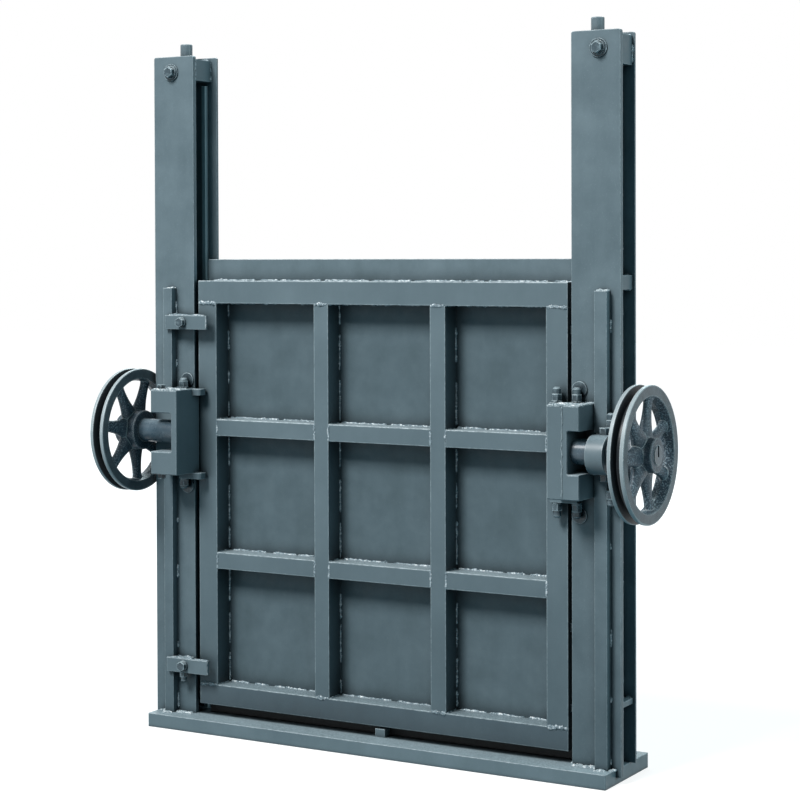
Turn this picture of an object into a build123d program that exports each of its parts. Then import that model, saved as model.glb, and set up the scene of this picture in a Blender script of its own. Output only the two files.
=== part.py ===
from build123d import *
from math import cos, radians, sin
import os

os.makedirs("parts", exist_ok=True)

# Sizes in millimetres. X runs along the gate, Y away from the front, Z up.
# The origin is the middle of the sill's underside.
# The leaf's width and height drive the posts, the sill and all that stands on them.

# Leaf
leaf_width = 1000
leaf_height = 1040
leaf_lift = 26
leaf_set_back = 3
stile_width = 53
beam_height = 55
foot_beam_height = 50
rib_width = 40
rib_depth = 52
member_wall = 6
left_rib_share = -0.145
right_rib_share = 0.171
upper_cross_share = 0.68
lower_cross_share = 0.367
cross_height = 40
skin_thickness = 8
skin_overhang = 6
skin_upstand = 52
seal_thickness = 12
seal_play = 0.3
seal_end_gap = 4
pad_thickness = 5
pad_height = 16
pad_depth = 30
pad_shares = [0.115, 0.288, 0.673, 0.923]

# Posts
side_gap = 11
post_rise = 578
flange_width = 118
flange_thickness = 12
flange_corner = 5
rear_play = 13.5
rear_thickness = 6
rear_reach = 16.5
web_inset = 32
web_thickness = 12
flange_drop = 17
flange_lap = 13
lap_play = 0.5
block_heights = {"left": 52, "right": 66}
block_drop = 8
block_inset = 6
strip_width = 10
strip_depth = 12
strip_inset = 11
strip_drop = 10
lug_height = 31
lug_rise = 10
plate_lug_height = 12
plate_lug_level = 132
lug_inset = 6

# Sill
sill_depth = 234
sill_thickness = 33
sill_nose = 56
sill_edge = 1.5

# Stems
stem_radius = 15
stem_inset = 47
stem_back = 26
stem_stand = 32
stem_play = 0.1
stem_chamfer = 1.5

# Square guide bars on the posts
bar_widths = {"left": 26, "right": 30}
bar_depth = 20
bar_rise = 8
bar_play = 1.5
bar_laps = {"left": 10, "right": 0}

# Fasteners
stud_radius = 7
stud_washer_radius = 12
stud_washer_thickness = 4
stud_nut_flats = 21
stud_nut_height = 15
stud_cap_radius = 9
stud_cap_heights = {"left": 7, "right": 15}
stud_cap_round = 3
dome_taper = 45
disc_radius = 18
disc_thickness = 4
cap_flats = 18
cap_height = 12
bolt_radius = 8
bolt_play = 0.5
bolt_flats = 24
bolt_head_height = 10
big_washer_radius = 21
big_washer_thickness = 3
small_washer_radius = 16
small_washer_thickness = 3
head_chamfer = 1.5
top_bolt_drop = 39
top_bolt_inset = 66

# Shaft brackets
shaft_share = 0.672
shaft_stand = 54
bracket_height = 205
bracket_depth = 97
bracket_lap = 15
bracket_width = 77
notch_height = 94
notch_corner = 4
bracket_webs = {"left": 16, "right": 49}
lip_play = 3
lip_end_play = 5
seat_depths = {"left": 10, "right": 30}
bracket_edge = 2
tab_reaches = {"left": 22, "right": 28}
tab_thickness = 15
tab_depth = 30
tab_foot = 41
tab_round = 9
stud_stand = 17
stud_inset = 20
inner_stud_lap = 28
disc_rises = {"left": 20, "right": 29}
cap_stand = 75
cap_inset = 45

# Bearing on the right post
bearing_inset = 75
bearing_length = 41
bearing_height = 86
bearing_drop = 5
bearing_nut_flats = 24
bearing_nut_height = 15
bearing_nut_stand = 40
bearing_nut_inset = 23.5
bearing_stud_stand = 24
bearing_stud_inset = 30.5
bearing_foot_width = 21
bearing_foot_depth = 30
bearing_foot_height = 12
bearing_stud_drop = 24

# Keepers on the left post
keeper_reach = 54
keeper_height = 34
keeper_thickness = 10
keeper_foot_inset = 4
upper_keeper_share = 0.927
lower_keeper_share = 0.116
keeper_bolt_inset = 16
keeper_washer_radius = 13
keeper_washer_thickness = 5
keeper_head_height = 8
keeper_stud_inset = 22
keeper_stud_end = 10

# Stop block under the leaf
stop_width = 26
stop_centre = 12
stop_depth = 24
stop_height = 20

# Handwheels and shafts
wheel_radius = 150
rim_width = 38
rim_face_radius = 126
rim_inner_radius = 120
rim_round = 2.5
groove_half_width = 10
groove_depth = 20
groove_floor = 5
wheel_gaps = {"left": 26, "right": 76}
spoke_count = 7
spoke_starts = {"left": 21, "right": 12}
spoke_shares = [0, 0.08, 0.2, 0.5, 0.8, 0.92, 1]
spoke_widths = [54, 50, 44, 32, 28, 29, 34]
spoke_thicknesses = [34, 31, 27, 20, 17, 18, 21]
spoke_sink = 4
hub_inner_radius = 48
hub_outer_radius = 38
hub_half_length = 33
hub_shoulder = 4
hub_slope = 12
hub_round = 3
shaft_proud = 2
shaft_radius = 28
shaft_end_radius = 21
running_play = 0.05
hub_play = 0.02
shoulder_depth = 4
key_width = 8
key_depth = 25
key_length = 4

# Places that follow from the sizes
flange_inner = leaf_width / 2 + side_gap
flange_outer = flange_inner + flange_width
sill_length = 2 * (flange_outer - flange_lap)
front = -sill_depth / 2 + sill_nose
sill_top = sill_thickness
leaf_front = front + leaf_set_back
skin_front = leaf_front + rib_depth
skin_back = skin_front + skin_thickness
rear_front = skin_back + rear_play
channel_front = front + flange_thickness
post_height = leaf_height + post_rise
post_top = sill_top + post_height
block_top = post_top - block_drop
block_bottom = {side: block_top - height for side, height in block_heights.items()}
leaf_bottom = sill_top + leaf_lift
leaf_top = leaf_bottom + leaf_height
stem_y = channel_front + stem_back
shaft_y = front - shaft_stand
shaft_z = sill_top + shaft_share * leaf_height
stile_inner = leaf_width / 2 - stile_width
clear_height = leaf_height - beam_height - foot_beam_height
bracket_inner = flange_inner - bracket_lap
bracket_outer = bracket_inner + bracket_width
bracket_low = shaft_z - bracket_height / 2
bracket_high = shaft_z + bracket_height / 2
bar_inner = {side: bracket_outer + bar_play - lap for side, lap in bar_laps.items()}
bar_outer = {side: bar_inner[side] + width for side, width in bar_widths.items()}
bar_top = sill_top + leaf_height + bar_rise
bearing_start = flange_inner + bearing_inset
bearing_middle = shaft_z - bearing_drop
bearing_low = bearing_middle - bearing_height / 2
bearing_high = bearing_middle + bearing_height / 2
top_bolt_z = post_top - top_bolt_drop
mid_y = leaf_front + rib_depth / 2
sides = {"left": -1, "right": 1}


def disc(seat, radius, amount):
    """A round bar from a seat plane."""
    with BuildSketch(seat) as outline:
        Circle(radius)
    extrude(outline.sketch, amount=amount)


def hexagon(seat, flats, amount):
    """A hexagon head or nut on a seat plane."""
    with BuildSketch(seat) as outline:
        RegularPolygon(flats / 2, 6, major_radius=False)
    extrude(outline.sketch, amount=amount)


def stud_nut(seat, cap_rise):
    """A washer, a nut and a domed cap nut in a stack."""
    nut_seat = seat.offset(stud_washer_thickness)
    disc(seat, stud_washer_radius, stud_washer_thickness)
    hexagon(nut_seat, stud_nut_flats, stud_nut_height)
    disc(nut_seat.offset(stud_nut_height), stud_cap_radius, cap_rise - stud_cap_round)
    dome_seat = nut_seat.offset(stud_nut_height + cap_rise - stud_cap_round)
    with BuildSketch(dome_seat) as outline:
        Circle(stud_cap_radius)
    extrude(outline.sketch, amount=stud_cap_round, taper=dome_taper)


def plate(x_low, x_high, y_low, y_high, z_low, z_high):
    """A flat bar between two corners."""
    with BuildSketch(Plane.XY.offset(z_low)) as outline:
        with Locations(((x_low + x_high) / 2, (y_low + y_high) / 2)):
            Rectangle(abs(x_high - x_low), abs(y_high - y_low))
    extrude(outline.sketch, amount=z_high - z_low)


def channel_bar(start, width, depth, length, cap=0):
    """A channel section, open towards the skin, with its ends capped or open."""
    with BuildSketch(start) as outline:
        Rectangle(width, depth)
    extrude(outline.sketch, amount=length)
    with BuildSketch(start.offset(cap)) as hollow:
        with Locations((0, member_wall / 2)):
            Rectangle(width - 2 * member_wall, depth - member_wall)
    extrude(hollow.sketch, amount=length - 2 * cap, mode=Mode.SUBTRACT)


# Sill plate
with BuildPart() as sill_plate:
    with BuildSketch(Plane.XY):
        Rectangle(sill_length, sill_depth)
    extrude(amount=sill_thickness)
    chamfer(sill_plate.edges().filter_by(Axis.Z), sill_edge)
sill_plate.part.label = "sill_plate"
export_step(sill_plate.part, "parts/sill_plate.step")

# Stop block in the middle of the sill
with BuildPart() as centre_stop:
    with BuildSketch(Plane.XY.offset(sill_top)):
        with Locations((stop_centre, skin_front - seal_thickness - stop_depth)):
            Rectangle(stop_width, stop_depth)
    extrude(amount=stop_height)
    chamfer(centre_stop.edges().group_by(Axis.Z)[-1], sill_edge)
centre_stop.part.label = "centre_stop"
export_step(centre_stop.part, "parts/centre_stop.step")

# Posts
for name, side in sides.items():
    # Front flange, which laps over the sill's end
    lap_edge = side * (sill_length / 2 + lap_play)
    with BuildPart() as front_flange:
        with BuildSketch(Plane.XZ.offset(-front)) as flange_face:
            with BuildLine():
                Polyline(
                    (side * flange_inner, sill_top),
                    (side * flange_inner, post_top),
                    (side * flange_outer, post_top),
                    (side * flange_outer, sill_top - flange_drop),
                    (lap_edge, sill_top - flange_drop),
                    (lap_edge, sill_top),
                    close=True,
                )
            make_face()
            fillet(flange_face.vertices().group_by(Axis.Y)[-1], flange_corner)
        extrude(amount=-flange_thickness)
        with BuildSketch(Plane.XZ.offset(-front)):
            with Locations((side * (flange_inner + top_bolt_inset), top_bolt_z)):
                Circle(bolt_radius + bolt_play)
        extrude(amount=-flange_thickness, mode=Mode.SUBTRACT)
    front_flange.part.label = f"{name}_front_flange"
    export_step(front_flange.part, f"parts/{name}_front_flange.step")

    # Rear flange
    with BuildPart() as rear_flange:
        plate(
            side * (flange_inner - rear_reach),
            side * flange_outer,
            rear_front,
            rear_front + rear_thickness,
            sill_top,
            post_top,
        )
        top_corners = rear_flange.edges().filter_by(Axis.Y).group_by(Axis.Z)[-1]
        fillet(top_corners, flange_corner)
    rear_flange.part.label = f"{name}_rear_flange"
    export_step(rear_flange.part, f"parts/{name}_rear_flange.step")

    # Web between the flanges
    with BuildPart() as post_web:
        plate(
            side * (flange_outer - web_inset - web_thickness),
            side * (flange_outer - web_inset),
            channel_front,
            rear_front,
            sill_top,
            block_bottom[name],
        )
    post_web.part.label = f"{name}_post_web"
    export_step(post_web.part, f"parts/{name}_post_web.step")

    # Top block with the stem's hole and the bolt's hole
    with BuildPart() as top_block:
        plate(
            side * flange_inner,
            side * (flange_outer - block_inset),
            channel_front,
            rear_front,
            block_bottom[name],
            block_top,
        )
        with BuildSketch(Plane.XY.offset(block_bottom[name])):
            with Locations((side * (flange_inner + stem_inset), stem_y)):
                Circle(stem_radius + stem_play)
        extrude(amount=block_heights[name], mode=Mode.SUBTRACT)
        with BuildSketch(Plane.XZ.offset(-channel_front)):
            with Locations((side * (flange_inner + top_bolt_inset), top_bolt_z)):
                Circle(bolt_radius + bolt_play)
        extrude(amount=-flange_thickness - bolt_play, mode=Mode.SUBTRACT)
    top_block.part.label = f"{name}_top_block"
    export_step(top_block.part, f"parts/{name}_top_block.step")

    # Stem, from the sill through the top block
    with BuildPart() as stem:
        with BuildSketch(Plane.XY.offset(sill_top)):
            with Locations((side * (flange_inner + stem_inset), stem_y)):
                Circle(stem_radius)
        extrude(amount=post_height + stem_stand)
        chamfer(stem.edges().group_by(Axis.Z)[-1], stem_chamfer)
    stem.part.label = f"{name}_stem"
    export_step(stem.part, f"parts/{name}_stem.step")

    # Bolt through the front flange into the top block
    bolt_seat = Plane(
        origin=(side * (flange_inner + top_bolt_inset), front, top_bolt_z),
        z_dir=(0, -1, 0),
    )
    with BuildPart() as top_bolt:
        washers = big_washer_thickness + small_washer_thickness
        hexagon(bolt_seat.offset(washers), bolt_flats, bolt_head_height)
        chamfer(top_bolt.edges().group_by(Axis.Y)[0], head_chamfer)
        disc(bolt_seat, small_washer_radius, washers)
        disc(bolt_seat, big_washer_radius, big_washer_thickness)
        disc(bolt_seat, bolt_radius, -2 * flange_thickness)
    top_bolt.part.label = f"{name}_top_bolt"
    export_step(top_bolt.part, f"parts/{name}_top_bolt.step")

    # Guide bar on the flange, cut where it meets the left bracket or the right bearing
    if name == "left":
        gap_low, gap_high = bracket_low, bracket_high
    else:
        gap_low, gap_high = bearing_low, bearing_high
    bar_ends = [sill_top, gap_low - bar_play, gap_high + bar_play, bar_top]
    with BuildPart() as guide_bar:
        for bar_low, bar_high in zip(bar_ends[::2], bar_ends[1::2]):
            plate(
                side * bar_inner[name],
                side * bar_outer[name],
                front - bar_depth,
                front,
                bar_low,
                bar_high,
            )
    guide_bar.part.label = f"{name}_guide_bar"
    export_step(guide_bar.part, f"parts/{name}_guide_bar.step")

    # Seat strip down the face of the rear flange
    with BuildPart() as seat_strip:
        plate(
            side * (flange_inner + strip_inset),
            side * (flange_inner + strip_inset + strip_width),
            rear_front - strip_depth,
            rear_front,
            sill_top,
            block_bottom[name] - strip_drop,
        )
    seat_strip.part.label = f"{name}_seat_strip"
    export_step(seat_strip.part, f"parts/{name}_seat_strip.step")

    # Stiffeners between the flanges, outside the web
    with BuildPart() as stiffeners:
        for level, height in (
            (leaf_height + lug_rise, lug_height),
            (plate_lug_level, plate_lug_height),
        ):
            plate(
                side * (flange_outer - web_inset),
                side * (flange_outer - lug_inset),
                channel_front,
                rear_front,
                sill_top + level,
                sill_top + level + height,
            )
    stiffeners.part.label = f"{name}_stiffeners"
    export_step(stiffeners.part, f"parts/{name}_stiffeners.step")

    # Shaft bracket: a web with two arms, open outwards, and two tabs over the leaf
    web_outer = bracket_inner + bracket_webs[name]
    tab_tip = bracket_inner - tab_reaches[name]
    with BuildPart() as bracket:
        with BuildSketch(Plane.XZ.offset(-front)) as bracket_face:
            with BuildLine():
                Polyline(
                    (side * bracket_inner, bracket_low),
                    (side * bracket_inner, bracket_high),
                    (side * bracket_outer, bracket_high),
                    (side * bracket_outer, shaft_z + notch_height / 2),
                    (side * web_outer, shaft_z + notch_height / 2),
                    (side * web_outer, shaft_z - notch_height / 2),
                    (side * bracket_outer, shaft_z - notch_height / 2),
                    (side * bracket_outer, bracket_low),
                    close=True,
                )
            make_face()
            notch_corners = bracket_face.vertices().filter_by(
                lambda corner: abs(abs(corner.X) - web_outer) < bracket_edge
            )
            fillet(notch_corners, notch_corner)
        extrude(amount=bracket_depth)
        chamfer(
            bracket.edges().filter_by(Axis.X).group_by(Axis.Y)[0]
            + bracket.edges().filter_by(Axis.Z).group_by(Axis.Y)[0],
            bracket_edge,
        )
        # Tabs: one level with the top, one under the bottom
        for tab_low, tab_root in (
            (bracket_high - tab_thickness, bracket_inner + tab_round),
            (bracket_low - tab_thickness, bracket_inner + tab_foot),
        ):
            with BuildSketch(Plane.XY.offset(tab_low)) as tab_face:
                with Locations((side * (tab_tip + tab_root) / 2, front - tab_depth / 2)):
                    Rectangle(tab_root - tab_tip, tab_depth)
                tab_ends = tab_face.vertices().group_by(Axis.X)[0 if side > 0 else -1]
                fillet(tab_ends, tab_round)
            extrude(amount=tab_thickness)
        # Relief behind all that laps over the leaf's stile
        relief_edge = flange_inner - lip_end_play
        with BuildSketch(Plane.XY.offset(bracket_low - tab_thickness)):
            with Locations((side * (tab_tip + relief_edge) / 2, front - lip_play / 2)):
                Rectangle(relief_edge - tab_tip, lip_play)
        extrude(amount=bracket_height + tab_thickness, mode=Mode.SUBTRACT)
        # Blind seat for the shaft's end
        seat_face = Plane(
            origin=(side * web_outer, shaft_y, shaft_z), z_dir=(side, 0, 0)
        )
        with BuildSketch(seat_face):
            Circle(shaft_radius + running_play)
        extrude(amount=-seat_depths[name], mode=Mode.SUBTRACT)
    bracket.part.label = f"{name}_bracket"
    export_step(bracket.part, f"parts/{name}_bracket.step")

    # Studs with nuts over and under the bracket, and discs on the flange behind them
    stud_x = [flange_inner + stud_inset]
    if name == "right":
        stud_x.append(flange_inner - inner_stud_lap)
    with BuildPart() as bracket_bolts:
        for x in stud_x:
            stud_y = front - stud_stand
            for seat_z, way in ((bracket_high, 1), (bracket_low - tab_thickness, -1)):
                stud_seat = Plane(origin=(side * x, stud_y, seat_z), z_dir=(0, 0, way))
                stud_nut(stud_seat, stud_cap_heights[name])
        disc_rise = disc_rises[name]
        for disc_z in (bracket_high + disc_rise, bracket_low - tab_thickness - disc_rise):
            disc_x = side * (flange_inner + stud_inset)
            disc_seat = Plane(origin=(disc_x, front, disc_z), z_dir=(0, -1, 0))
            disc(disc_seat, disc_radius, disc_thickness)
        if name == "left":
            cap_x = side * (flange_inner + cap_inset)
            cap_y = front - cap_stand
            for cap_z, way in ((bracket_high, 1), (bracket_low, -1)):
                cap_seat = Plane(origin=(cap_x, cap_y, cap_z), z_dir=(0, 0, way))
                hexagon(cap_seat, cap_flats, cap_height)
    bracket_bolts.part.label = f"{name}_bracket_bolts"
    export_step(bracket_bolts.part, f"parts/{name}_bracket_bolts.step")

# Bearing block on the right post, with a round nose
with BuildPart() as right_bearing:
    bearing_face = Plane(
        origin=(bearing_start, shaft_y, shaft_z), x_dir=(0, 1, 0), z_dir=(1, 0, 0)
    )
    with BuildSketch(bearing_face):
        with Locations((0, -bearing_drop)):
            Circle(bearing_height / 2)
        with Locations((shaft_stand / 2, -bearing_drop)):
            Rectangle(shaft_stand, bearing_height)
        Circle(shaft_radius + running_play, mode=Mode.SUBTRACT)
    extrude(amount=bearing_length)
right_bearing.part.label = "right_bearing"
export_step(right_bearing.part, "parts/right_bearing.step")

# Clamp plates over and under the bearing, each with a nut, and a stud with its own nuts
with BuildPart() as right_bearing_bolts:
    for way, face_z in ((-1, bearing_low), (1, bearing_high)):
        stud_seat = Plane(
            origin=(
                bearing_start + bearing_stud_inset,
                front - bearing_stud_stand,
                face_z,
            ),
            z_dir=(0, 0, way),
        )
        with BuildSketch(stud_seat) as clamp_plate:
            Rectangle(bearing_foot_width, bearing_foot_depth)
        extrude(clamp_plate.sketch, amount=bearing_foot_height)
        nut_level = bearing_foot_height + (bearing_stud_drop if way < 0 else 0)
        disc(stud_seat, stud_radius, nut_level)
        stud_nut(stud_seat.offset(nut_level), stud_cap_heights["right"])
        nut_seat = Plane(
            origin=(bearing_start + bearing_nut_inset, front - bearing_nut_stand, face_z),
            z_dir=(0, 0, way),
        )
        hexagon(nut_seat, bearing_nut_flats, bearing_nut_height)
right_bearing_bolts.part.label = "right_bearing_bolts"
export_step(right_bearing_bolts.part, "parts/right_bearing_bolts.step")

# Keepers on the left post: a flat bar over the leaf's stile, on a foot
keeper_tip_x = flange_inner - keeper_reach
keeper_front = front - bar_depth - keeper_thickness
keeper_levels = {
    "upper": sill_top + upper_keeper_share * leaf_height,
    "lower": sill_top + lower_keeper_share * leaf_height,
}
for level_name, level in keeper_levels.items():
    with BuildPart() as keeper:
        plate(
            -(bar_inner["left"] + bar_outer["left"]) / 2,
            -keeper_tip_x,
            keeper_front,
            front - bar_depth,
            level - keeper_height / 2,
            level + keeper_height / 2,
        )
        plate(
            -bar_inner["left"],
            -(flange_inner + keeper_foot_inset),
            front - bar_depth,
            front,
            level - keeper_height / 2,
            level + keeper_height / 2,
        )
    keeper.part.label = f"{level_name}_keeper"
    export_step(keeper.part, f"parts/{level_name}_keeper.step")

# Studs with nuts on the keepers, and one under the lower keeper
with BuildPart() as keeper_bolts:
    for level in keeper_levels.values():
        keeper_seat = Plane(
            origin=(-flange_inner - keeper_bolt_inset, keeper_front, level),
            z_dir=(0, -1, 0),
        )
        head_seat = keeper_seat.offset(keeper_washer_thickness)
        disc(keeper_seat, keeper_washer_radius, keeper_washer_thickness)
        hexagon(head_seat, stud_nut_flats, keeper_head_height)
    under_seat = Plane(
        origin=(
            -flange_inner - keeper_stud_inset,
            front - bar_depth,
            keeper_levels["lower"] - keeper_height / 2,
        ),
        z_dir=(0, 0, -1),
    )
    hexagon(under_seat, cap_flats, cap_height)
    disc(under_seat.offset(cap_height), stud_radius, keeper_stud_end)
keeper_bolts.part.label = "keeper_bolts"
export_step(keeper_bolts.part, "parts/keeper_bolts.step")

# Leaf: the skin plate behind the frame
with BuildPart() as skin_plate:
    plate(
        -(leaf_width / 2 + skin_overhang),
        leaf_width / 2 + skin_overhang,
        skin_front,
        skin_back,
        leaf_bottom,
        leaf_top + skin_upstand,
    )
skin_plate.part.label = "skin_plate"
export_step(skin_plate.part, "parts/skin_plate.step")

# Top and bottom beams over the full width, with closed ends
for beam_name, centre_z, height in (
    ("top_beam", leaf_top - beam_height / 2, beam_height),
    ("bottom_beam", leaf_bottom + foot_beam_height / 2, foot_beam_height),
):
    start = Plane(
        origin=(-leaf_width / 2, mid_y, centre_z), x_dir=(0, 0, -1), z_dir=(1, 0, 0)
    )
    with BuildPart() as beam:
        channel_bar(start, height, rib_depth, leaf_width, member_wall)
    beam.part.label = beam_name
    export_step(beam.part, f"parts/{beam_name}.step")

# Stiles and vertical ribs between the beams
foot = leaf_bottom + foot_beam_height
left_rib_centre = left_rib_share * leaf_width
right_rib_centre = right_rib_share * leaf_width
for upright_name, centre_x, width in (
    ("left_stile", -leaf_width / 2 + stile_width / 2, stile_width),
    ("right_stile", leaf_width / 2 - stile_width / 2, stile_width),
    ("left_rib", left_rib_centre, rib_width),
    ("right_rib", right_rib_centre, rib_width),
):
    start = Plane(origin=(centre_x, mid_y, foot))
    with BuildPart() as upright:
        channel_bar(start, width, rib_depth, clear_height)
    upright.part.label = upright_name
    export_step(upright.part, f"parts/{upright_name}.step")

# Two rows of cross ribs in the three bays
bays = [
    (-stile_inner, left_rib_centre - rib_width / 2),
    (left_rib_centre + rib_width / 2, right_rib_centre - rib_width / 2),
    (right_rib_centre + rib_width / 2, stile_inner),
]
for row_name, row_share in (
    ("upper_cross_ribs", upper_cross_share),
    ("lower_cross_ribs", lower_cross_share),
):
    with BuildPart() as cross_ribs:
        for bay_start, bay_end in bays:
            start = Plane(
                origin=(bay_start, mid_y, sill_top + row_share * leaf_height),
                x_dir=(0, 0, -1),
                z_dir=(1, 0, 0),
            )
            channel_bar(start, cross_height, rib_depth, bay_end - bay_start)
    cross_ribs.part.label = row_name
    export_step(cross_ribs.part, f"parts/{row_name}.step")

# Rubber seal under the leaf, next to the skin
with BuildPart() as bottom_seal:
    plate(
        seal_end_gap - leaf_width / 2,
        leaf_width / 2 - seal_end_gap,
        skin_front - seal_thickness,
        skin_front,
        sill_top + seal_play,
        leaf_bottom,
    )
bottom_seal.part.label = "bottom_seal"
export_step(bottom_seal.part, "parts/bottom_seal.step")

# Guide pads on the leaf's edges
with BuildPart() as guide_pads:
    for side in sides.values():
        for pad_share in pad_shares:
            pad_z = sill_top + pad_share * leaf_height
            plate(
                side * leaf_width / 2,
                side * (leaf_width / 2 + pad_thickness),
                mid_y - pad_depth / 2,
                mid_y + pad_depth / 2,
                pad_z - pad_height / 2,
                pad_z + pad_height / 2,
            )
guide_pads.part.label = "guide_pads"
export_step(guide_pads.part, "parts/guide_pads.step")

# Handwheels: a grooved rim, a tapered hub and oval spokes that flare at both ends
for name, side in sides.items():
    wheel_centre = flange_outer + wheel_gaps[name]
    centre = Vector(side * wheel_centre, shaft_y, shaft_z)
    # Local x points away from the gate, local y up
    section = Plane(origin=centre, x_dir=(side, 0, 0), z_dir=(0, -side, 0))
    turning = Axis(centre, (1, 0, 0))
    with BuildPart() as wheel:
        with BuildSketch(section) as rim_section:
            with BuildLine():
                Polyline(
                    (-rim_width / 2, rim_face_radius),
                    (-rim_width / 2, wheel_radius),
                    (-groove_half_width, wheel_radius),
                    (-groove_floor, wheel_radius - groove_depth),
                    (groove_floor, wheel_radius - groove_depth),
                    (groove_half_width, wheel_radius),
                    (rim_width / 2, wheel_radius),
                    (rim_width / 2, rim_face_radius),
                    (0, rim_inner_radius),
                    close=True,
                )
            make_face()
            fillet(rim_section.vertices(), rim_round)
        revolve(axis=turning)
        with BuildSketch(section) as hub_section:
            with BuildLine():
                Polyline(
                    (-hub_half_length, 0),
                    (-hub_half_length, hub_inner_radius),
                    (hub_shoulder, hub_inner_radius),
                    (hub_shoulder + hub_slope, hub_outer_radius),
                    (hub_half_length, hub_outer_radius),
                    (hub_half_length, 0),
                    close=True,
                )
            make_face()
            fillet(hub_section.vertices().filter_by(lambda corner: corner.Y > 0), hub_round)
        revolve(axis=turning)
        root = hub_outer_radius - spoke_sink
        spoke_length = rim_inner_radius + spoke_sink - root
        for count in range(spoke_count):
            angle = radians(spoke_starts[name] + 360 / spoke_count * count)
            out = Vector(0, sin(angle), cos(angle))
            for share, wide, thick in zip(spoke_shares, spoke_widths, spoke_thicknesses):
                at = centre + out * (root + share * spoke_length)
                with BuildSketch(Plane(origin=at, x_dir=(1, 0, 0), z_dir=out)):
                    Ellipse(thick / 2, wide / 2)
            loft()
        # Bore with a shoulder for the larger shaft
        bore_face = Plane(
            origin=centre - Vector(side * hub_half_length, 0, 0), z_dir=(side, 0, 0)
        )
        with BuildSketch(bore_face):
            Circle(shaft_end_radius + hub_play)
        extrude(amount=2 * hub_half_length, mode=Mode.SUBTRACT)
        with BuildSketch(bore_face):
            Circle(shaft_radius + hub_play)
        extrude(amount=shoulder_depth, mode=Mode.SUBTRACT)
    wheel.part.label = f"{name}_wheel"
    export_step(wheel.part, f"parts/{name}_wheel.step")

    # Shaft, stepped down where it goes through the hub, with a keyway in its end
    seat_bottom = bracket_inner + bracket_webs[name] - seat_depths[name] + running_play
    shoulder = wheel_centre - hub_half_length + shoulder_depth
    tip = wheel_centre + hub_half_length + shaft_proud
    with BuildPart() as shaft:
        for start_x, end_x, radius in (
            (seat_bottom, shoulder, shaft_radius),
            (shoulder, tip, shaft_end_radius),
        ):
            at = (side * start_x, shaft_y, shaft_z)
            disc(Plane(origin=at, z_dir=(side, 0, 0)), radius, end_x - start_x)
        end_face = Plane(
            origin=(side * tip, shaft_y, shaft_z), x_dir=(0, 1, 0), z_dir=(side, 0, 0)
        )
        with BuildSketch(end_face):
            with Locations((0, side * (shaft_end_radius - key_depth / 2))):
                Rectangle(key_width, key_depth)
        extrude(amount=-key_length, mode=Mode.SUBTRACT)
    shaft.part.label = f"{name}_shaft"
    export_step(shaft.part, f"parts/{name}_shaft.step")
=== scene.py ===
import bpy
import math
import numpy as np
from mathutils import Matrix, Vector


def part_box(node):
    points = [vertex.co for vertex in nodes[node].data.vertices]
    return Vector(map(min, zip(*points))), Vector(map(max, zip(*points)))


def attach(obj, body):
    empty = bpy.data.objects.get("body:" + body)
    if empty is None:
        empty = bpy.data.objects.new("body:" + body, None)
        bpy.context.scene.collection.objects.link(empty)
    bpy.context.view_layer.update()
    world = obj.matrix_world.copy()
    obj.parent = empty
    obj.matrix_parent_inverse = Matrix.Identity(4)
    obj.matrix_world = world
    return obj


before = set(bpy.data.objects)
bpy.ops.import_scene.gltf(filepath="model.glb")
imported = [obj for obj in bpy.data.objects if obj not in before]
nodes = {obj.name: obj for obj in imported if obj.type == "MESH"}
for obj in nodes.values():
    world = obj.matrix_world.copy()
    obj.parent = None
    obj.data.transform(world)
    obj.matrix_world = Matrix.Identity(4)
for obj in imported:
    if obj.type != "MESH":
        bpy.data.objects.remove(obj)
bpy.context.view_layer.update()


def boxOf(*names):
    # lowest and highest corners of several nodes together, in metres
    corners = [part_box(name) for name in names]
    low = np.min([c[0] for c in corners], axis=0)
    high = np.max([c[1] for c in corners], axis=0)
    return low, high


def levels(name):
    # the heights at which a node's mesh has corners
    points = np.empty(len(nodes[name].data.vertices) * 3)
    nodes[name].data.vertices.foreach_get("co", points)
    return np.unique(np.round(points.reshape(-1, 3)[:, 2], 4))


print("frame loaded:", len(nodes), "nodes")

# ---- camera, from the photograph's own perspective

camera = {
    "place": (2.4317, -4.1234, 1.1612),  # metres, in the part's frame
    "yaw": 30.13,                        # degrees to the left of +Y
    "pitch": -0.99,
    "roll": -0.18,
    "lens": 91.44, "sensor": 36,         # millimetres
    "shiftY": -0.1378,
    "clipEnd": 100,
}


def aimCamera(look):
    yaw, pitch, roll = (math.radians(look[k]) for k in ("yaw", "pitch", "roll"))
    ahead = (-math.sin(yaw) * math.cos(pitch), math.cos(yaw) * math.cos(pitch), math.sin(pitch))
    forward = Vector(ahead)
    level = Vector((math.cos(yaw), math.sin(yaw), 0))
    upright = level.cross(forward)
    right = level * math.cos(roll) + upright * math.sin(roll)
    up = upright * math.cos(roll) - level * math.sin(roll)
    turn = Matrix((right, up, -forward)).transposed().to_4x4()
    data = bpy.data.cameras.new("photoCamera")
    data.sensor_width = look["sensor"]
    data.lens = look["lens"]
    data.shift_y = look["shiftY"]
    data.clip_end = look["clipEnd"]
    seen = bpy.data.objects.new("photoCamera", data)
    seen.matrix_world = Matrix.Translation(look["place"]) @ turn
    bpy.context.scene.collection.objects.link(seen)
    bpy.context.scene.camera = seen


aimCamera(camera)


# ---- node trees


def hexLinear(code):
    # sRGB hex to linear RGBA
    parts = [int(code[i:i + 2], 16) / 255 for i in (1, 3, 5)]
    return (*[p / 12.92 if p <= 0.04045 else ((p + 0.055) / 1.055) ** 2.4 for p in parts], 1)


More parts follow.
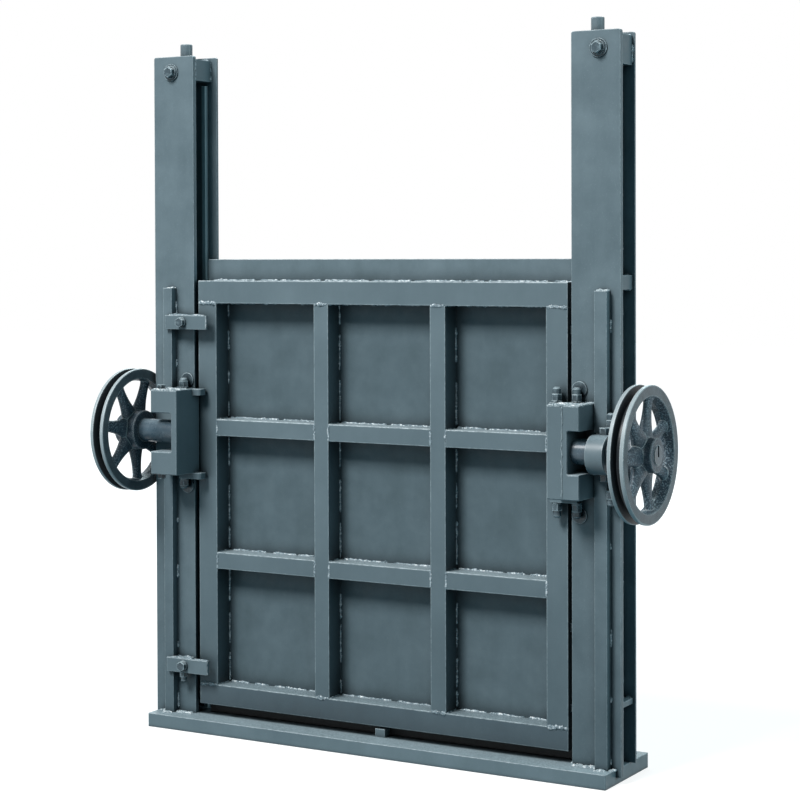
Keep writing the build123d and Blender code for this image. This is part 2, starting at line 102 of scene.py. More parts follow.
def setStops(bar, stops):
    # puts pairs of a place and a hex colour, or a grey level, on a colour ramp
    while len(bar.elements) < len(stops):
        bar.elements.new(0.5)
    for element, (place, colour) in zip(bar.elements, stops):
        element.position = place
        element.color = hexLinear(colour) if isinstance(colour, str) else (colour, colour, colour, 1)


def addNode(tree, kind, settings=None, links=None, out=None):
    # One node. Its settings are attributes, inputs by name or number, or a ramp's stops; its links are
    # sockets, or plain values where nothing is linked. Gives back the node, or one of its outputs.
    node = tree.nodes.new("ShaderNode" + kind)
    for key, value in (settings or {}).items():
        if key == "stops":
            setStops(node.color_ramp, value)
        elif isinstance(key, str) and hasattr(node, key):
            setattr(node, key, value)
        else:
            node.inputs[key].default_value = value
    for key, source in (links or {}).items():
        if isinstance(source, bpy.types.NodeSocket):
            tree.links.new(source, node.inputs[key])
        else:
            node.inputs[key].default_value = source
    return node if out is None else node.outputs[out]


def newMaterial(name):
    material = bpy.data.materials.new(name)
    material.use_nodes = True
    tree = material.node_tree
    tree.nodes.clear()
    return material, tree


def overlay(tree, under, over, *amounts, blend="MIX"):
    # one colour laid over another, as strong as the product of the amounts
    amount = amounts[0]
    for factor in amounts[1:]:
        amount = addNode(tree, "Math", {"operation": "MULTIPLY"}, {0: amount, 1: factor}, 0)
    return addNode(tree, "Mix", {"data_type": "RGBA", "blend_type": blend}, {0: amount, 6: under, 7: over}, 2)


def noiseAt(tree, place, millimetres, detail, roughness, stretch=None):
    # noise whose grain is about that many millimetres across
    if stretch:
        place = addNode(tree, "Mapping", {"Scale": stretch}, {"Vector": place}, "Vector")
    settings = {"Scale": 1000 / millimetres, "Detail": detail, "Roughness": roughness}
    return addNode(tree, "TexNoise", settings, {"Vector": place}, "Fac")


def mottle(tree, place, grain, stops):
    # noise of a grain (millimetres, detail, roughness and maybe a stretch) through a few stops
    return addNode(tree, "ValToRGB", {"stops": stops}, {"Fac": noiseAt(tree, place, *grain)}, "Color")


paintIor = 1.5  # epoxy paint, and rubber too
# how many rays feel for edges and corners, and the cosines at which a turn or an upward tilt counts
feel = {"samples": 6, "sharp": 0.93, "flat": 0.995, "tiltNone": 0.1, "tiltFull": 0.4}


def edgeMask(tree, radius):
    # 0 on flats and 1 where the surface turns within the radius, and 1 where that edge looks up
    rounded = addNode(tree, "Bevel", {"samples": feel["samples"], "Radius": radius}, out="Normal")
    flat = addNode(tree, "NewGeometry", out="True Normal")
    same = addNode(tree, "VectorMath", {"operation": "DOT_PRODUCT"}, {0: rounded, 1: flat}, "Value")
    stops = [(feel["sharp"], 1.0), (feel["flat"], 0.0)]
    edge = addNode(tree, "ValToRGB", {"stops": stops}, {"Fac": same}, "Color")
    tilt = addNode(tree, "SeparateXYZ", links={"Vector": rounded}, out="Z")
    ends = {"From Min": feel["tiltNone"], "From Max": feel["tiltFull"]}
    return edge, addNode(tree, "MapRange", ends, {"Value": tilt}, "Result")


def paintedCornerShade(tree, reach, full, none):
    # white on open faces, dark teal painted shade in inner corners
    shelter = addNode(tree, "AmbientOcclusion", {"samples": feel["samples"], "Distance": reach}, out="AO")
    stops = [(full, "#152A33"), (none, "#FFFFFF")]
    return addNode(tree, "ValToRGB", {"stops": stops}, {"Fac": shelter}, "Color")


def coatedSteel(name, look):
    # Epoxy-coated hot-rolled steel: an even blue-grey film with a slight orange peel that lies over
    # mill scale and brush marks. The eye gets a semi-gloss sheen, faint clouding, pale worn edges with
    # painted highlights, painted shade in inner corners and in a box, and a bright speckle of dust and
    # overspray with painted light on what faces up.
    material, tree = newMaterial(name)
    place = addNode(tree, "TexCoord", out="Object")
    tones = zip(look["cloudPlaces"], (look["dark"], look["middle"], look["light"]))
    colour = mottle(tree, place, look["cloudGrain"], list(tones))
    streaks = mottle(tree, place, look["streakGrain"], look["streakStops"])
    colour = overlay(tree, colour, hexLinear(look["light"]), streaks, look["streaks"])
    specks = mottle(tree, place, look["speckGrain"], look["speckStops"])
    colour = overlay(tree, colour, hexLinear(look["speckColour"]), specks, look["specks"])
    # dust and overspray, with painted light from above, on the faces that look up
    normal = addNode(tree, "NewGeometry", out="True Normal")
    up = addNode(tree, "SeparateXYZ", links={"Vector": normal}, out="Z")
    lying = addNode(tree, "MapRange", look["lying"], {"Value": up}, "Result")
    grains = mottle(tree, place, look["dustGrain"], look["dustStops"])
    colour = overlay(tree, colour, hexLinear(look["dustColour"]), lying, grains, look["dust"])
    # pale worn edges with painted highlights, brighter painted highlights where they look up, broken up by
    # noise
    edge, upper = edgeMask(tree, look["edgeRadius"])
    broken = mottle(tree, place, look["brokenGrain"], look["brokenStops"])
    colour = overlay(tree, colour, hexLinear(look["edgeColour"]), edge, broken, look["wear"])
    colour = overlay(tree, colour, hexLinear(look["upperColour"]), edge, upper, broken, look["upperWear"])
    # painted shade in the inner corners, weaker on what faces up
    dark = paintedCornerShade(tree, look["grimeReach"], look["grimeFull"], look["grimeNone"])
    ends = {"To Min": look["grime"], "To Max": look["grime"] * look["grimeUp"]}
    shadeWeight = addNode(tree, "MapRange", ends, {"Value": lying}, "Result")
    colour = overlay(tree, colour, dark, shadeWeight, blend="MULTIPLY")
    if look["film"]:
        # painted shade inside a box with soft limits
        spot = addNode(tree, "SeparateXYZ", links={"Vector": place})
        inside = []
        for axis in range(3):
            for corner, fade in zip(look["film"], (look["filmFade"], -look["filmFade"])):
                ends = {"From Min": corner[axis] - fade, "From Max": corner[axis] + fade}
                inside.append(addNode(tree, "MapRange", ends, {"Value": spot.outputs[axis]}, "Result"))
        patchy = mottle(tree, place, look["filmGrain"], look["filmStops"])
        colour = overlay(tree, colour, hexLinear(look["filmColour"]), *inside, patchy, blend="MULTIPLY")
    # orange peel over the plate's slow waviness
    peel = noiseAt(tree, place, *look["peelGrain"])
    wave = noiseAt(tree, place, *look["waveGrain"])
    height = addNode(tree, "Math", {"operation": "MULTIPLY_ADD", 1: look["waviness"]}, {0: wave, 2: peel}, 0)
    soft = addNode(tree, "Bevel", {"samples": feel["samples"], "Radius": look["bevel"]}, out="Normal")
    bump = addNode(tree, "Bump", {"Strength": look["bump"], "Distance": look["bumpDepth"]},
                   {"Height": height, "Normal": soft}, "Normal")
    sheen = zip(look["roughPlaces"], (look["roughLow"], look["roughHigh"]))
    rough = mottle(tree, place, look["roughGrain"], list(sheen))
    shader = addNode(tree, "BsdfPrincipled", {"IOR": paintIor, "Specular IOR Level": look["gloss"]},
                     {"Base Color": colour, "Roughness": rough, "Normal": bump}, "BSDF")
    addNode(tree, "OutputMaterial", links={"Surface": shader})
    return material


# a grain is its size in millimetres, detail, roughness and maybe a stretch; lengths are in metres
plateCoat = {
    "cloudGrain": (170, 4, 0.6), "cloudPlaces": (0.3, 0.52, 0.75),
    "dark": "#5D6D74", "middle": "#63737A", "light": "#6B7B82",
    "streakGrain": (26, 3, 0.6, (1, 1, 0.12)), "streakStops": [(0.42, 0.0), (0.72, 1.0)], "streaks": 0.18,
    "speckGrain": (3.4, 2, 0.7), "speckStops": [(0.62, 0.0), (0.74, 1.0)], "specks": 0.26,
    "speckColour": "#84959B",
    "lying": {"From Min": 0.6, "From Max": 0.95},
    "dustGrain": (3.5, 4, 0.75), "dustStops": [(0.38, 0.15), (0.62, 1.0)], "dust": 0.7,
    "dustColour": "#AEC0C7",
    "brokenGrain": (9, 3, 0.6), "brokenStops": [(0.35, 0.25), (0.65, 1.0)],
    "edgeRadius": 0.0032, "edgeColour": "#AEBCC1", "wear": 0.7, "upperWear": 0.8, "upperColour": "#D3DEE2",
    "grime": 0.9, "grimeReach": 0.026, "grimeFull": 0.28, "grimeNone": 0.88, "grimeUp": 0.4,
    "film": None, "filmFade": 0.006, "filmColour": "#2A3438",
    "filmGrain": (35, 4, 0.7), "filmStops": [(0.3, 0.88), (0.6, 1.0)],
    "peelGrain": (1.6, 2, 0.5), "waveGrain": (60, 2, 0.5), "waviness": 1.5,
    "bump": 0.22, "bumpDepth": 0.0004, "bevel": 0.0018,
    "roughGrain": (22, 4, 0.6), "roughPlaces": (0.3, 0.7), "roughLow": 0.34, "roughHigh": 0.48, "gloss": 0.26,
}
leafLow, leafHigh = boxOf("left_stile", "right_stile", "top_beam", "bottom_beam")
skinLow, skinHigh = boxOf("skin_plate")
webLow, webHigh = boxOf("left_post_web", "right_post_web")
shadeBoxOver = {"skin": 0.004, "leaf": 0.006, "wide": 2, "wetTo": 0.36, "wetFade": 0.3}
# the skin is rougher, and painted darker in the bays inside the leaf's frame, as painted shade
skinCoat = dict(plateCoat, cloudGrain=(90, 4, 0.6), dark="#59696F", middle="#63737A", light="#6D7D84",
                streaks=0.25, roughLow=0.4, roughHigh=0.56, grimeReach=0.045, filmColour="#CFD5D7",
                film=(leafLow, (leafHigh[0], skinLow[1] + shadeBoxOver["skin"], leafHigh[2])))
# the lower part of the gate is painted a little darker, as painted shade
lowShade = {"film": ((-shadeBoxOver["wide"],) * 3, (shadeBoxOver["wide"], shadeBoxOver["wide"], shadeBoxOver["wetTo"])),
           "filmFade": shadeBoxOver["wetFade"], "filmColour": "#D6DCDE"}
postCoat = dict(plateCoat, cloudGrain=(110, 4, 0.6), dark="#596970", light="#6F7F86", streaks=0.28,
                specks=0.4, speckGrain=(3, 2, 0.7), bump=0.34, **lowShade)
# ribs have wider painted shade in their corners, and more painted light on their tops and upper edges
ribCoat = dict(plateCoat, grimeReach=0.08, grimeNone=0.94, dust=0.9, dustColour="#BFD0D6",
               edgeRadius=0.005, upperWear=1.0, upperColour="#E2ECEF", **lowShade)
# the bottom beam is painted darker still, as painted shade
shadedFootCoat = dict(ribCoat, dark="#525F66", middle="#596870", light="#627178")
# painted shadow on the sill under the leaf, between the posts
sillCoat = dict(plateCoat, grimeReach=0.01, dark="#5E7078", middle="#66787F", light="#70828A",
                film=((webLow[0], leafLow[1] + shadeBoxOver["leaf"], -1), (webHigh[0], skinHigh[1], 1)))
# fasteners have dark bodies as painted shade, and bright edges and tops as painted highlights
fastenerShadeHighlightCoat = dict(plateCoat, cloudGrain=(14, 4, 0.6), dark="#2C3B43", middle="#46565E", light="#6C7D84",
                    speckGrain=(1.8, 2, 0.7), specks=0.5, dustGrain=(3, 4, 0.75), dust=1.0,
                    dustColour="#C9DADF", wear=1.0, edgeRadius=0.003, edgeColour="#BCD0D8",
                    upperWear=1.0, upperColour="#D2E4EA", bevel=0.0008, bump=0.6,
                    grime=1.0, grimeReach=0.026, grimeFull=0.42, grimeNone=0.92,
                    roughLow=0.18, roughHigh=0.3, gloss=0.35)
# the seat strips are painted lighter, with little corner shade, as painted light in the dark groove
litStripCoat = dict(plateCoat, dark="#7E9097", middle="#8C9EA5", light="#99AAB0", grime=0.2)
barCoat = dict(plateCoat, cloudGrain=(40, 4, 0.6), streaks=0.1, dust=0.4, roughLow=0.34, roughHigh=0.46,
               gloss=0.4, grimeReach=0.04)
# the shafts are painted darker, as painted shade from the wheels and brackets
shadedShaftCoat = dict(barCoat, dark="#34454F", middle="#41535E", light="#4F616C", specks=0.6,
                 speckGrain=(5, 2, 0.7), grimeReach=0.02, roughLow=0.24, roughHigh=0.34, gloss=0.5)


def castIron(name, look):
    # Sand-cast iron handwheel under the same coat: the skin of the casting is pebbled by the sand, and
    # the rim is turned, so its faces are smoother. The outer rim is rubbed pale by hands and rope and
    # carries a painted sheen; its edges have painted highlights, and the rope groove and inner corners
    # painted shade.
    material, tree = newMaterial(name)
    place = addNode(tree, "TexCoord", out="Object")
    # distance from the wheel's own axis, which runs along X, and from its middle plane
    middle = look["middle"]
    centred = addNode(tree, "Mapping", {"Location": (0, -middle[1], -middle[2]), "Scale": (0, 1, 1)},
                      {"Vector": place}, "Vector")
    away = addNode(tree, "VectorMath", {"operation": "LENGTH"}, {0: centred}, "Value")
    along = addNode(tree, "SeparateXYZ", links={"Vector": place}, out="X")
    aside = addNode(tree, "Math", {"operation": "SUBTRACT"}, {0: along, 1: middle[0]}, 0)
    aside = addNode(tree, "Math", {"operation": "ABSOLUTE"}, {0: aside}, 0)
    onRim, inGroove, rubbed = (
        addNode(tree, "MapRange", {"From Min": none, "From Max": full}, {"Value": where}, "Result")
        for where, (none, full) in ((away, look["rim"]), (aside, look["groove"]), (away, look["rubbed"])))
    clouds = noiseAt(tree, place, *look["cloudGrain"])
    castColour, turnedColour = (
        addNode(tree, "ValToRGB", {"stops": stops}, {"Fac": clouds}, "Color")
        for stops in (look["cast"], look["turned"]))
    colour = overlay(tree, castColour, turnedColour, onRim)
    # the outer rim rubbed pale, with a painted sheen
    colour = overlay(tree, colour, hexLinear(look["rubbedColour"]), rubbed, look["rubbedWear"])
    # sand grit, thinner towards the hub
    grit = noiseAt(tree, place, *look["gritGrain"])
    shade = addNode(tree, "ValToRGB", {"stops": look["gritStops"]}, {"Fac": grit}, "Color")
    sandy = addNode(tree, "MapRange", look["gritReach"], {"Value": away}, "Result")
    notRim = addNode(tree, "Math", {"operation": "SUBTRACT"}, {0: 1.0, 1: onRim}, 0)
    colour = overlay(tree, colour, hexLinear(look["gritColour"]), shade, notRim, sandy)
    # pale worn edges with painted highlights on the wheel
    edge = edgeMask(tree, look["edgeRadius"])[0]
    broken = mottle(tree, place, look["brokenGrain"], look["brokenStops"])
    colour = overlay(tree, colour, hexLinear(look["edgeColour"]), edge, broken, look["wear"])
    # painted shade in the rope groove
    colour = overlay(tree, colour, hexLinear(look["grease"]), onRim, inGroove)
    # painted shade in the wheel's inner corners
    dark = paintedCornerShade(tree, look["grimeReach"], look["grimeFull"], look["grimeNone"])
    colour = overlay(tree, colour, dark, look["grime"], blend="MULTIPLY")
    # turning marks are rings on the rim, sand grain is everywhere else
    turns = addNode(tree, "Math", {"operation": "MULTIPLY"}, {0: away, 1: 2 * math.pi / look["ringPitch"]}, 0)
    rings = addNode(tree, "Math", {"operation": "SINE"}, {0: turns}, 0)
    deep = {"operation": "MULTIPLY_ADD", 1: look["ringDeep"], 2: 0.5}
    ringHeight = addNode(tree, "Math", deep, {0: rings}, 0)
    height = overlay(tree, grit, ringHeight, onRim)
    soft = addNode(tree, "Bevel", {"samples": feel["samples"], "Radius": look["bevel"]}, out="Normal")
    bump = addNode(tree, "Bump", {"Strength": look["bump"], "Distance": look["bumpDepth"]},
                   {"Height": height, "Normal": soft}, "Normal")
    rough = addNode(tree, "MapRange", look["roughness"], {"Value": onRim}, "Result")
    shader = addNode(tree, "BsdfPrincipled", {"IOR": paintIor, "Specular IOR Level": look["gloss"]},
                     {"Base Color": colour, "Roughness": rough, "Normal": bump}, "BSDF")
    addNode(tree, "OutputMaterial", links={"Surface": shader})
    return material


wheelCast = {
    "rim": (0.1255, 0.1275), "rubbed": (0.1465, 0.1495),  # distances from the axis at which each sets in
    "groove": (0.0108, 0.0093),                           # distance from the middle plane
    "cloudGrain": (28, 4, 0.6),
    "cast": [(0.3, "#26353F"), (0.7, "#40515D")], "turned": [(0.3, "#404D54"), (0.7, "#5C6A71")],
    "rubbedColour": "#A9B5B9", "rubbedWear": 0.75, "grease": "#1C272E",
    "gritGrain": (3.6, 3, 0.65), "gritStops": [(0.51, 0.0), (0.64, 0.85)], "gritColour": "#A9BBC5",
    "gritReach": {"From Min": 0.045, "From Max": 0.1265, "To Min": 0.3, "To Max": 1.0},
    "edgeRadius": 0.004, "edgeColour": "#DCE2E3", "wear": 1.0,
    "brokenGrain": (6, 3, 0.6), "brokenStops": [(0.3, 0.4), (0.6, 1.0)],
    "grime": 0.8, "grimeReach": 0.02, "grimeFull": 0.2, "grimeNone": 0.78,
    "ringPitch": 0.0016, "ringDeep": 0.12, "bump": 1.0, "bumpDepth": 0.0012, "bevel": 0.0012,
    "roughness": {"To Min": 0.4, "To Max": 0.38}, "gloss": 0.3,
}


def mottledSkin(name, look):
    # a skin in a few tones of noise with a fine bump, for the welds and the seal
    material, tree = newMaterial(name)
    place = addNode(tree, "TexCoord", out="Object")
    colour = mottle(tree, place, look["toneGrain"], look["tones"])
    bump = addNode(tree, "Bump", {"Strength": look["bump"], "Distance": look["bumpDepth"]},
                   {"Height": noiseAt(tree, place, *look["bumpGrain"])}, "Normal")
    shader = addNode(tree, "BsdfPrincipled", {"IOR": paintIor, "Roughness": look["roughness"]},
                     {"Base Color": colour, "Normal": bump}, "BSDF")
    addNode(tree, "OutputMaterial", links={"Surface": shader})
    return material


# Hand-laid arc weld under the coat: the paint pools between the ripples, and its near-white flecks are
# painted glints, so the bead reads as broken bright points. The rough one is spattered and paler, with
# brighter painted glints.
glintWeldLook = {"toneGrain": (6, 3, 0.7), "tones": [(0.4, "#52646C"), (0.54, "#8FA1AA"), (0.64, "#E6ECEE")],
            "bumpGrain": (3.2, 3, 0.6), "bump": 0.7, "bumpDepth": 0.0012, "roughness": 0.22}
glintRoughWeldLook = dict(glintWeldLook, toneGrain=(8, 3, 0.7),
                     tones=[(0.4, "#74868E"), (0.54, "#A9B7BC"), (0.64, "#EDF1F3")])
# Moulded black EPDM: nearly black, dull, with a dusty bloom
sealLook = {"toneGrain": (18, 4, 0.6), "tones": [(0.35, "#15181A"), (0.75, "#2A2E30")],
            "bumpGrain": (0.9, 2, 0.5), "bump": 0.3, "bumpDepth": 0.0003, "roughness": 0.7}


plateFinish = coatedSteel("epoxyCoatedPlate", plateCoat)
postFinish = coatedSteel("epoxyCoatedPost", postCoat)
ribFinish = coatedSteel("epoxyCoatedRib", ribCoat)
barFinish = coatedSteel("coatedRoundBar", barCoat)
glintWeldFinish = mottledSkin("coatedArcWeld", glintWeldLook)
glintRoughWeldFinish = mottledSkin("coatedRoughWeld", glintRoughWeldLook)
# the first words that are in a node's name give its finish; the rest is plain plate
finishes = {
    "bolt": coatedSteel("coatedFastener", fastenerShadeHighlightCoat),
    "_shaft": coatedSteel("coatedShaft", shadedShaftCoat),
    "_stem": barFinish, "_bearing": barFinish,
    "_seat_strip": coatedSteel("coatedSeatStrip", litStripCoat),
    "bottom_seal": mottledSkin("blackSealRubber", sealLook),
    "skin_plate": coatedSteel("epoxyCoatedSheet", skinCoat),
    "sill_plate": coatedSteel("epoxyCoatedSill", sillCoat),
    "bottom_beam": coatedSteel("epoxyCoatedFoot", shadedFootCoat),
    "_rib": ribFinish, "_stile": ribFinish, "top_beam": ribFinish,
    "_flange": postFinish, "_guide_bar": postFinish,
}
for side in ("left", "right"):
    wheelMiddle = np.mean(boxOf(side + "_wheel"), axis=0)
    finishes[side + "_wheel"] = castIron("coatedCastIron_" + side, dict(wheelCast, middle=wheelMiddle))

for name, node in nodes.items():
    found = [finish for words, finish in finishes.items() if words in name]
    node.data.materials.clear()
    node.data.materials.append(found[0] if found else plateFinish)
print("finishes on", len(nodes), "nodes")


# ---- weld beads

# limits of a bead's thickness over its size, how far its ripples lean, and the gap between its lumps
beadForm = {"thin": 0.35, "thick": 1.7, "ringThin": 0.4, "ringThick": 1.6, "lean": 0.12, "lumpGap": 0.006,
            "fewestRows": 6, "fewestLumps": 3, "fewestSpokes": 24, "roundEnd": 2.5}


def beadSurface(start, end, sideA, sideB, look, rng):
    # Weld bead: section s along the line and angle t round it. Its centre wanders a little off the line,
    # its radius is size x (1 + ripple x crescent(s) + lump(s)), and it closes to a point at both ends.
    start, end, sideA, sideB = (np.array(v, float) for v in (start, end, sideA, sideB))
    length = np.linalg.norm(end - start)
    along = (end - start) / length
    rows = max(beadForm["fewestRows"], int(length / look["step"]) + 1)
    s = np.linspace(0, 1, rows)[:, None]
    t = np.linspace(0, 2 * np.pi, look["round"], endpoint=False)[None, :]
    knots = max(beadForm["fewestLumps"], int(length / beadForm["lumpGap"]))
    lump, drift = (np.interp(s, np.linspace(0, 1, knots), rng.normal(0, look[part], knots))
                   for part in ("lump", "drift"))
    crescent = (s * length / look["pitch"] + beadForm["lean"] * np.cos(t)) % 1.0
    cap = np.sqrt(np.clip(1 - np.abs(2 * s - 1) ** (rows / beadForm["roundEnd"]), 0, 1))
    swell = np.clip(1 + look["ripple"] * (0.5 - crescent) + lump, beadForm["thin"], beadForm["thick"])
    radius = look["size"] * cap * swell
    centre = start + along * s * length + sideA * drift
    points = (centre[:, None, :] + radius[:, :, None]
              * (np.cos(t)[:, :, None] * sideA + np.sin(t)[:, :, None] * sideB * look["tall"]))
    inner = points[1:-1].reshape(-1, 3)
    tips = np.array([start, end])
    count, ring = rows - 2, look["round"]
    i, j = np.meshgrid(np.arange(count - 1), np.arange(ring), indexing="ij")
    a, b = i * ring + j, i * ring + (j + 1) % ring
    quads = np.stack([a, b, b + ring, a + ring], -1).reshape(-1, 4)
    k = np.arange(ring)
    first, last = len(inner), len(inner) + 1
    fanA = np.stack([np.full(ring, first), (k + 1) % ring, k], -1)
    top = (count - 1) * ring
    fanB = np.stack([np.full(ring, last), top + k, top + (k + 1) % ring], -1)
    if np.dot(np.cross(sideA, sideB), along) < 0:
        quads, fanA, fanB = quads[:, ::-1], fanA[:, ::-1], fanB[:, ::-1]
    return np.vstack([inner, tips]), quads, np.vstack([fanA, fanB])


def buildPiece(name, surfaces, finish, body):
    # puts several surfaces into one smooth mesh that rides on a body
    points, faces, base = [], [], 0
    for verts, quads, triangles in surfaces:
        points.append(verts)
        faces += [tuple(face) for face in (quads + base).tolist()]
        faces += [tuple(face) for face in (triangles + base).tolist()]
        base += len(verts)
    mesh = bpy.data.meshes.new(name)
    mesh.from_pydata(np.vstack(points).tolist(), [], faces)
    mesh.polygons.foreach_set("use_smooth", np.ones(len(mesh.polygons), bool))
    mesh.materials.append(finish)
    mesh.update()
    piece = bpy.data.objects.new(name, mesh)
    bpy.context.scene.collection.objects.link(piece)
    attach(piece, body)
    print(name, len(mesh.polygons), "faces")
    return piece


def ringSurface(centre, radius, look, rng):
    # Weld all round an upright bar: the bead's section at angle t goes round the ring at angle s, with
    # the same ripple as a straight bead, and the ring closes on itself.
    count = max(beadForm["fewestSpokes"], int(2 * np.pi * radius / look["step"]))
    s = np.linspace(0, 2 * np.pi, count, endpoint=False)[:, None]
    t = np.linspace(0, 2 * np.pi, look["round"], endpoint=False)[None, :]
    lump = rng.normal(0, look["lump"], count)
    lump = ((lump + np.roll(lump, 1) + np.roll(lump, -1)) / 2)[:, None]
    crescent = (s * radius / look["pitch"] + beadForm["lean"] * np.cos(t)) % 1.0
    swell = np.clip(1 + look["ripple"] * (0.5 - crescent) + lump, beadForm["ringThin"], beadForm["ringThick"])
    size = look["size"] * swell
    reach = radius + size * np.cos(t)
    points = np.array(centre) + np.stack([reach * np.cos(s), reach * np.sin(s), size * np.sin(t)], -1)
    ring = look["round"]
    i, j = np.meshgrid(np.arange(count), np.arange(ring), indexing="ij")
    a, b = i * ring + j, i * ring + (j + 1) % ring
    c, d = ((i + 1) % count) * ring + (j + 1) % ring, ((i + 1) % count) * ring + j
    quads = np.stack([a, d, c, b], -1).reshape(-1, 4)
    return points.reshape(-1, 3), quads, np.zeros((0, 3), int)


stitchEnds = {"least": 0.001, "most": 0.01}  # bare length left at a line's two ends


def laid(lines, rng):
    # beads along lines of (start, end, sideA, sideB, look): in stitches with gaps between them, as a
    # welder lays them, or in one run where the look has no stitch; a look may have several runs beside
    # each other
    surfaces = []
    for start, end, sideA, sideB, look in lines:
        for repeat in range(look["runs"]):
            aside = np.array(sideA) * rng.uniform(0, look["spread"]) if look["spread"] else 0
            first, last = np.array(start, float) + aside, np.array(end, float) + aside
            if not look["stitch"]:
                surfaces.append(beadSurface(first, last, sideA, sideB, look, rng))
                continue
            length = np.linalg.norm(last - first)
            along = (last - first) / length
            place = rng.uniform(*stitchEnds.values())
            while place < length - stitchEnds["most"]:
                run = min(rng.uniform(*look["stitch"]), length - place - stitchEnds["least"])
                near, far = first + along * place, first + along * (place + run)
                surfaces.append(beadSurface(near, far, sideA, sideB, look, rng))
                place += run + rng.uniform(*look["gap"])
    return surfaces


def mirrored(lines, side):
    # lines drawn for the right side, put on the left (-1) or right (1)
    flip = np.array((side, 1, 1))
    return [(*[np.array(part) * flip for part in line[:4]], line[4]) for line in lines]


left, right, forward, back, up, down = (-1, 0, 0), (1, 0, 0), (0, -1, 0), (0, 1, 0), (0, 0, 1), (0, 0, -1)
filletBead = {"size": 0.0031, "step": 0.0016, "round": 8, "pitch": 0.0048, "ripple": 0.55, "lump": 0.22,
              "drift": 0.0004, "tall": 1.0, "stitch": (0.03, 0.11), "gap": (0.006, 0.05),
              "runs": 1, "spread": 0}
closeBead = dict(filletBead, stitch=(0.04, 0.16), gap=(0.003, 0.02))
cornerBead = dict(filletBead, size=0.0024, stitch=None)
seamBead = dict(cornerBead, step=0.0012, pitch=0.0042, ripple=0.8, lump=0.3, tall=0.32)
joinBead = dict(seamBead, size=0.0042, tall=0.45, drift=0.0008)
heavyBead = dict(filletBead, size=0.0048, pitch=0.006, stitch=(0.05, 0.16), gap=(0.003, 0.015))
footBead = dict(heavyBead, size=0.0026, ripple=0.6, lump=0.5, drift=0.0022, stitch=(0.006, 0.024),
                gap=(0.001, 0.01), runs=9, spread=0.014)
crownBead = dict(footBead, tall=0.9, runs=5, spread=0.006)
capBead = dict(crownBead, size=0.0034, spread=0.012)
hairBead = dict(seamBead, size=0.0016, tall=0.6, drift=0.0008)
barBead = dict(filletBead, stitch=(0.012, 0.04), gap=(0.1, 0.28))

uprightBox = [boxOf(name) for name in ("left_stile", "left_rib", "right_rib", "right_stile")]
rowBox = [boxOf(name) for name in ("bottom_beam", "lower_cross_ribs", "upper_cross_ribs", "top_beam")]
leafFront = uprightBox[0][0][1]
skinFront = boxOf("skin_plate")[0][1]


leafRoom = {"end": 0.001, "corner": 0.004}  # how far short of a member's edge the beads stop


def leafWelds():
    lines = []
    end, seed = leafRoom["end"], 11
    bays = [(uprightBox[i][1][0], uprightBox[i + 1][0][0]) for i in range(3)]
    rows = [(rowBox[i][1][2], rowBox[i + 1][0][2]) for i in range(3)]
    for xLow, xHigh in bays:
        for zLow, zHigh in rows:
            for x, wayX in ((xLow, right), (xHigh, left)):
                lines.append(((x, skinFront, zLow), (x, skinFront, zHigh), wayX, forward, filletBead))
            lines.append(((xLow, skinFront, zLow), (xHigh, skinFront, zLow), up, forward, closeBead))
            lines.append(((xLow, skinFront, zHigh), (xHigh, skinFront, zHigh), down, forward, filletBead))
            # inner corners from the skin out to the front
            for x, wayX in ((xLow, right), (xHigh, left)):
                for z, wayZ in ((zLow, up), (zHigh, down)):
                    inner, outer = skinFront - leafRoom["corner"], leafFront + end
                    lines.append(((x, inner, z), (x, outer, z), wayX, wayZ, cornerBead))
        # seams on the front where the cross ribs meet the uprights
        for low, high in rowBox[1:3]:
            for x in (xLow, xHigh):
                foot, head = (x, leafFront, low[2] + end), (x, leafFront, high[2] - end)
                lines.append((foot, head, right, forward, seamBead))
    # uprights to the top and bottom beams
    for low, high in uprightBox:
        for z in (rowBox[0][1][2], rowBox[3][0][2]):
            near, far = (low[0] + end, leafFront, z), (high[0] - end, leafFront, z)
            lines.append((near, far, up, forward, joinBead))
    # the skin stands above the top beam, and its foot is welded along it
    low, high = rowBox[3]
    lines.append(((low[0], skinFront, high[2]), (high[0], skinFront, high[2]), up, forward, closeBead))
    # guide pads on the leaf's edges
    padLow, padHigh = boxOf("guide_pads")
    edge = high[0]
    for count, z in enumerate(levels("guide_pads")):
        pad = ((edge, padLow[1], z), (edge, padHigh[1], z), right, (down, up)[count % 2], cornerBead)
        for side in (-1, 1):
            lines += mirrored([pad], side)
    return laid(lines, np.random.default_rng(seed))


buildPiece("leafWelds", leafWelds(), glintWeldFinish, "leaf")

sillTop = boxOf("sill_plate")[1][2]


def reach(name):
    # how near to the gate's middle and how far from it a piece goes, sideways
    low, high = boxOf(name)
    return sorted((abs(low[0]), abs(high[0])))


def postPlaces(name):
    # planes of one post, drawn as if it were the right one
    flange, rear, bar = (boxOf(name + end) for end in ("_front_flange", "_rear_flange", "_guide_bar"))
    places = {"front": flange[0][1], "inside": flange[1][1], "rearFace": rear[0][1], "rearBack": rear[1][1],
              "barFront": bar[0][1], "barTop": bar[1][2]}
    places["flangeNear"], places["flangeFar"] = reach(name + "_front_flange")
    places["barNear"], places["barFar"] = reach(name + "_guide_bar")
    places["rearNear"] = reach(name + "_rear_flange")[0]
    places["webFar"] = reach(name + "_post_web")[1]
    return places


footRoom = {"sillEnd": footBead["spread"], "cap": 0.004}
sillEnd = {side: abs(boxOf("sill_plate")[(side + 1) // 2][0]) - footRoom["sillEnd"] for side in (-1, 1)}


